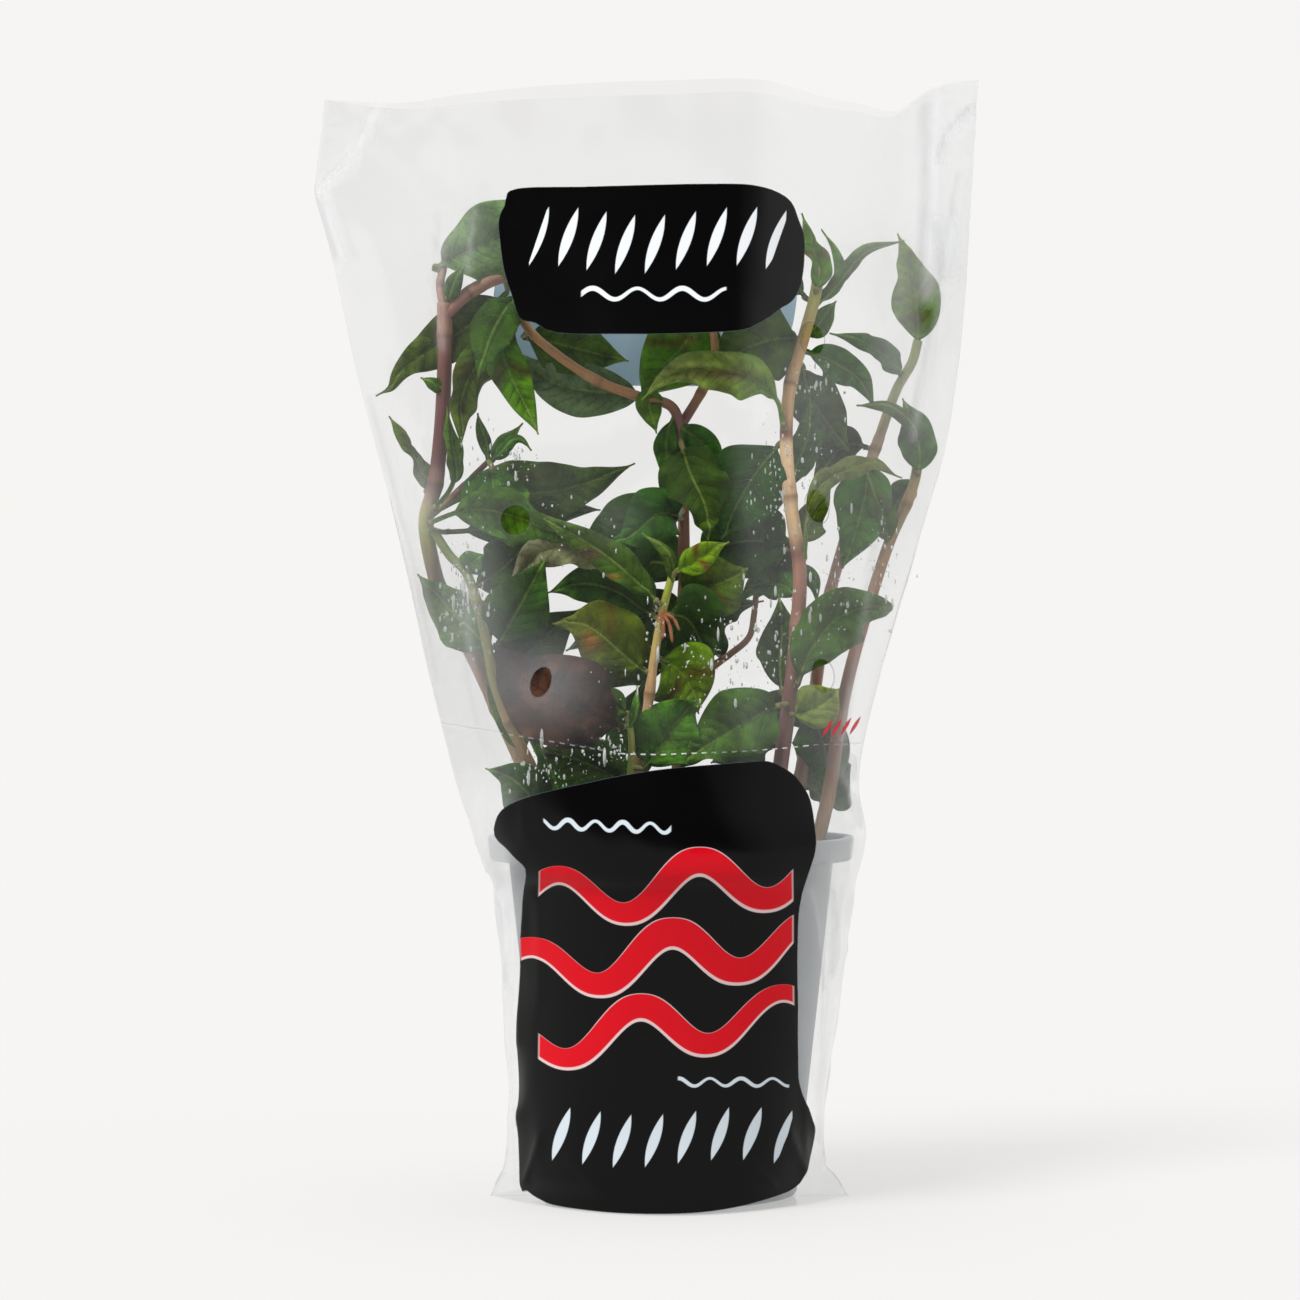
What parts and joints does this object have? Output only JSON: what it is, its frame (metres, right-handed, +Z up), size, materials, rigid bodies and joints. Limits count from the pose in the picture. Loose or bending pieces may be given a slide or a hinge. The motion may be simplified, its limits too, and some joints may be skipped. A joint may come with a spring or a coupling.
{
  "type": "potted vietnamese mint",
  "caption": "Leafy Vietnamese mint in a round grey plastic pot of soil, standing inside a clear, tapered, open-topped printed film sleeve.",
  "frame": {"origin": "on the pot's axis, on the surface that the sleeve's folded base stands on", "axes": "+Z up along the pot's axis; -Y is the front, where the sleeve's printed label is; +X is to the right seen from the front"},
  "size_m": [0.1929, 0.1096, 0.3267],
  "materials": {
    "film": "clear glossy plastic film with a printed black label, slight haze and creases",
    "pot": "moulded mid-grey plastic",
    "soil": "moist dark-brown peat, matte and crumbly",
    "stem": "smooth green to reddish-brown living stem",
    "leaf": "satin green living leaf with a dark chevron",
    "withered": "dry grey-brown withered leaf"
  },
  "bodies": {
    "root": {"leaf_arching": "leaf", "leaf_behind_label_left": "leaf", "leaf_behind_label_right": "leaf", "leaf_bright_middle": "leaf", "leaf_brownish": "leaf", "leaf_by_right_stem": "leaf", "leaf_curled_left": "leaf", "leaf_front_long": "leaf", "leaf_hanging_front": "leaf", "leaf_left_dark": "leaf", "leaf_left_light": "leaf", "leaf_left_long": "leaf", "leaf_left_low": "leaf", "leaf_left_lowest": "leaf", "leaf_left_round": "leaf", "leaf_left_second": "leaf", "leaf_left_stalked": "leaf", "leaf_low_centre": "leaf", "leaf_low_pale": "leaf", "leaf_low_right": "leaf", "leaf_middle_dark": "leaf", "leaf_middle_hazy": "leaf", "leaf_middle_left": "leaf", "leaf_middle_olive": "leaf", "leaf_middle_right": "leaf", "leaf_middle_shade": "leaf", "leaf_middle_spiky": "leaf", "leaf_middle_vivid": "leaf", "leaf_middle_wide": "leaf", "leaf_narrow_left": "leaf", "leaf_pale_right": "leaf", "leaf_right_big": "leaf", "leaf_right_dark": "leaf", "leaf_right_edge": "leaf", "leaf_right_front": "leaf", "leaf_right_hanging": "leaf", "leaf_right_hazy": "leaf", "leaf_right_low": "leaf", "leaf_right_spoon": "leaf", "leaf_right_top": "leaf", "leaf_rim_left": "leaf", "leaf_rim_middle": "leaf", "leaf_tailed_left": "leaf", "leaf_top_left": "leaf", "leaf_under_branch": "leaf", "leaf_under_label_left": "leaf", "leaf_upright_left": "leaf", "leaf_withered": "withered", "leaf_young": "leaf", "pot": "pot", "shoot_centre": "stem", "shoot_short": "stem", "sleeve": "film", "soil": "soil", "stem_left": "stem", "stem_left_side": "stem", "stem_middle": "stem", "stem_right": "stem", "stem_right_outer": "stem", "stem_right_rear": "stem"}
  },
  "joints": []
}
